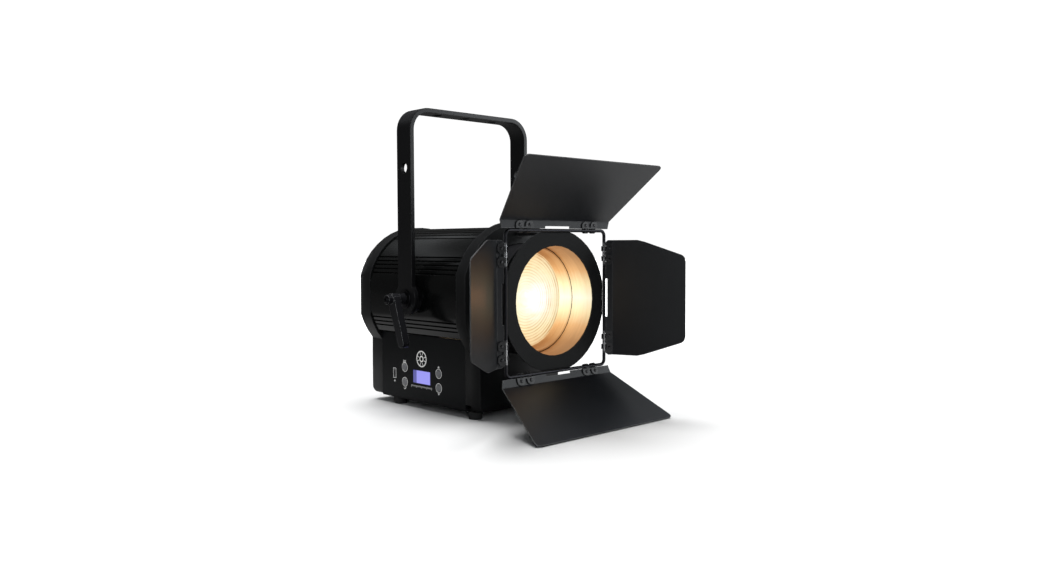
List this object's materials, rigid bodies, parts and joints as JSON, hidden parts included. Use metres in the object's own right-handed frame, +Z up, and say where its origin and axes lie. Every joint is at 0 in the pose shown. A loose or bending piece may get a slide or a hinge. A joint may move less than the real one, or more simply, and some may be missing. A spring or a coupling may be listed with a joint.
{
  "type": "fresnel spotlight",
  "caption": "Stage and studio fresnel spotlight: finned lamp head with zoom lens, turning barn doors with folding leaves, tilting yoke with clamp levers, and a control panel.",
  "frame": {"origin": "middle of the base tray's flat underside, straight below the yoke's tilt axis", "axes": "+Z up; the light is thrown toward -Y; the control panel faces -X"},
  "size_m": [0.3003, 0.4009, 0.3784],
  "materials": {
    "cast_black": "satin",
    "barrel_black": "satin",
    "sheet_black": "satin",
    "yoke_black": "satin",
    "leaf_black": "matte",
    "blackened_steel": "satin",
    "zinc_steel": "satin",
    "bare_aluminium": "satin",
    "rubber": "matte",
    "black_plastic": "matte",
    "grey_plastic": "satin",
    "lens_glass": "polished",
    "lit_screen": "gloss",
    "circuit_board": "satin",
    "emitter_phosphor": "satin",
    "brass": "satin"
  },
  "bodies": {
    "housing": {"barrel_extrusion": "barrel_black", "base_tray": "sheet_black", "chassis_plate": "bare_aluminium", "control_panel": "sheet_black", "data_in": "black_plastic", "data_out": "black_plastic", "display_board": "circuit_board", "display_window": "lit_screen", "driver_board": "circuit_board", "fan_frame": "black_plastic", "fan_guard": "blackened_steel", "foot_front_left": "rubber", "foot_front_right": "rubber", "foot_rear_left": "rubber", "foot_rear_right": "rubber", "front_casting": "cast_black", "guide_rod_left": "zinc_steel", "guide_rod_right": "zinc_steel", "heat_sink": "bare_aluminium", "led_board": "emitter_phosphor", "lens_tube": "cast_black", "pivot_stud_left": "blackened_steel", "pivot_stud_right": "blackened_steel", "power_inlet": "grey_plastic", "power_outlet": "grey_plastic", "power_supply": "zinc_steel", "rear_casting": "cast_black", "reflector": "bare_aluminium", "safety_loop": "zinc_steel", "service_port": "zinc_steel", "side_panel_right": "sheet_black", "zoom_motor": "blackened_steel"},
    "yoke": {"yoke": "yoke_black"},
    "clamp_lever_left": {"clamp_lever_left": "yoke_black"},
    "clamp_lever_right": {"clamp_lever_right": "yoke_black"},
    "zoom_carriage": {"lens_sleeve": "cast_black", "fresnel_lens": "lens_glass", "lens_clip_ring": "blackened_steel", "carriage_plate": "bare_aluminium", "drive_nut": "brass"},
    "zoom_screw": {"zoom_screw": "zinc_steel"},
    "fan_rotor": {"fan_rotor": "black_plastic"},
    "button_mode": {"button_mode": "grey_plastic"},
    "button_enter": {"button_enter": "grey_plastic"},
    "button_up": {"button_up": "grey_plastic"},
    "button_down": {"button_down": "grey_plastic"},
    "barndoor_ring": {"barndoor_ring": "leaf_black", "wire_frame": "blackened_steel"},
    "leaf_top": {"leaf_top": "leaf_black", "hinge_clip_top_a": "blackened_steel", "hinge_clip_top_b": "blackened_steel"},
    "leaf_right": {"leaf_right": "leaf_black", "hinge_clip_right_a": "blackened_steel", "hinge_clip_right_b": "blackened_steel"},
    "leaf_bottom": {"leaf_bottom": "leaf_black", "hinge_clip_bottom_a": "blackened_steel", "hinge_clip_bottom_b": "blackened_steel"},
    "leaf_left": {"leaf_left": "leaf_black", "hinge_clip_left_a": "blackened_steel", "hinge_clip_left_b": "blackened_steel"}
  },
  "joints": [
    {"name": "yoke_tilt", "type": "hinge", "parent": "housing", "child": "yoke", "pos_m": [0, 0, 0.134], "axis": [1, 0, 0], "range_deg": [-120, 40]},
    {"name": "clamp_left", "type": "hinge", "parent": "housing", "child": "clamp_lever_left", "pos_m": [-0.11, 0, 0.134], "axis": [-1, 0, 0], "range_deg": [0, 160]},
    {"name": "clamp_right", "type": "hinge", "parent": "housing", "child": "clamp_lever_right", "pos_m": [0.11, 0, 0.134], "axis": [1, 0, 0], "range_deg": [0, 160]},
    {"name": "lens_zoom", "type": "slide", "parent": "housing", "child": "zoom_carriage", "axis": [0, 1, 0], "range_m": [-0.02, 0.03]},
    {"name": "zoom_screw_turn", "type": "hinge", "parent": "housing", "child": "zoom_screw", "pos_m": [0, -0.067, 0.058], "axis": [0, 1, 0], "range_deg": [-901, 1351]},
    {"name": "fan_spin", "type": "hinge", "parent": "housing", "child": "fan_rotor", "pos_m": [0, 0.079, 0.134], "axis": [0, 1, 0], "continuous": true},
    {"name": "button_mode_press", "type": "slide", "parent": "housing", "child": "button_mode", "axis": [1, 0, 0], "range_m": [0, 0.0012], "stiffness_N_per_m": 500},
    {"name": "button_enter_press", "type": "slide", "parent": "housing", "child": "button_enter", "axis": [1, 0, 0], "range_m": [0, 0.0012], "stiffness_N_per_m": 500},
    {"name": "button_up_press", "type": "slide", "parent": "housing", "child": "button_up", "axis": [1, 0, 0], "range_m": [0, 0.0012], "stiffness_N_per_m": 500},
    {"name": "button_down_press", "type": "slide", "parent": "housing", "child": "button_down", "axis": [1, 0, 0], "range_m": [0, 0.0012], "stiffness_N_per_m": 500},
    {"name": "barndoor_turn", "type": "hinge", "parent": "housing", "child": "barndoor_ring", "pos_m": [0, -0.167, 0.134], "axis": [0, 1, 0], "continuous": true},
    {"name": "leaf_top_fold", "type": "hinge", "parent": "barndoor_ring", "child": "leaf_top", "pos_m": [0, -0.167, 0.2165], "axis": [1, 0, 0], "range_deg": [-35, 55]},
    {"name": "leaf_right_fold", "type": "hinge", "parent": "barndoor_ring", "child": "leaf_right", "pos_m": [0.0825, -0.167, 0.134], "axis": [0, 0, -1], "range_deg": [-58.5, 71.5]},
    {"name": "leaf_bottom_fold", "type": "hinge", "parent": "barndoor_ring", "child": "leaf_bottom", "pos_m": [0, -0.167, 0.0515], "axis": [-1, 0, 0], "range_deg": [-48.5, 41.5]},
    {"name": "leaf_left_fold", "type": "hinge", "parent": "barndoor_ring", "child": "leaf_left", "pos_m": [-0.0825, -0.167, 0.134], "axis": [0, 0, 1], "range_deg": [-21.5, 108.5]}
  ],
  "couplings": [
    {"joint": "zoom_screw_turn", "follows": "lens_zoom", "rad_per_m": 785.4}
  ]
}
